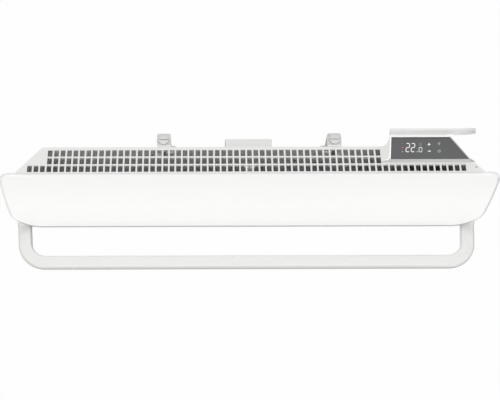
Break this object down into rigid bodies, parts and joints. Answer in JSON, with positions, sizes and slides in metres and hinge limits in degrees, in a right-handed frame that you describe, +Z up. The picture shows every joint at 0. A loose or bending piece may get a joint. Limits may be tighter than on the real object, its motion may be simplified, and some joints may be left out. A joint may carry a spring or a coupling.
{
  "type": "wall-hung electric convector heater with towel bar",
  "caption": "Low wall-hung convector heater with a crowned front, a slotted outlet grille, a tilted touch display under a flip-up lid, and a U-shaped towel bar.",
  "frame": {"origin": "centre of the four wall fixings, on the wall's face", "axes": "+X to the heater's right seen from the front, +Y into the wall, +Z up"},
  "size_m": [0.975, 0.1893, 0.3066],
  "materials": {
    "panel_white": "smooth white moulding, satin gloss",
    "casing_white": "white powder coat",
    "grille_white": "white moulded plastic, satin",
    "housing_white": "white moulded plastic, satin",
    "bar_white": "white enamelled tube",
    "socket_white": "white moulded plastic, satin",
    "bracket_white": "white powder coat",
    "lock_grey": "pale grey moulded plastic",
    "display_dark": "dark display glass, smooth",
    "board_green": "circuit board",
    "digit_black": "black module",
    "part_black": "black moulded part",
    "part_grey": "grey moulded part",
    "zinc_steel": "zinc-plated sheet",
    "bright_steel": "bright steel",
    "element_aluminium": "extruded aluminium",
    "ceramic": "ceramic bush"
  },
  "bodies": {
    "heater": {"wall_bracket": "bracket_white", "rear_casing": "casing_white", "top_grille": "grille_white", "front_panel": "panel_white", "panel_clips": "bright_steel", "grille_stay": "grille_white", "towel_bar": "bar_white", "socket_screws": "bright_steel", "control_housing": "housing_white", "display_window": "display_dark", "display_board": "board_green", "digit_module": "digit_black", "touch_springs": "bright_steel", "lid_hinge_pin": "bright_steel", "heating_element": "element_aluminium", "heating_rod": "bright_steel", "rod_bushes": "ceramic", "left_element_support": "zinc_steel", "right_element_support": "zinc_steel", "partition": "zinc_steel", "inner_baffle": "zinc_steel", "power_board": "board_green", "board_standoffs": "part_grey", "relay": "part_black", "capacitor": "part_grey", "terminal_block": "part_grey", "cable_gland": "part_black", "gland_nut": "part_black", "cutout_bracket": "zinc_steel", "overheat_cutout": "part_black", "room_sensor": "part_black", "grille_screw": "bright_steel", "left_lock_housing": "lock_grey", "right_lock_housing": "lock_grey", "left_bar_socket": "socket_white", "right_bar_socket": "socket_white"},
    "lid": {"control_lid": "housing_white"},
    "right_lock": {"right_lock_knob": "lock_grey", "right_lock_cam": "zinc_steel", "right_lock_clip": "bright_steel"},
    "left_lock": {"left_lock_knob": "lock_grey", "left_lock_cam": "zinc_steel", "left_lock_clip": "bright_steel"}
  },
  "joints": [
    {"name": "lid_hinge", "type": "hinge", "parent": "heater", "child": "lid", "pos_m": [0.327, -0.02991, 0.12652], "axis": [1, 0, 0], "range_deg": [0, 106]},
    {"name": "right_lock_turn", "type": "hinge", "parent": "heater", "child": "right_lock", "pos_m": [0.167, -0.0176, 0.0888], "axis": [0, 0, 1], "range_deg": [-90, 0]},
    {"name": "left_lock_turn", "type": "hinge", "parent": "heater", "child": "left_lock", "pos_m": [-0.167, -0.0176, 0.0888], "axis": [0, 0, 1], "range_deg": [0, 90]}
  ]
}
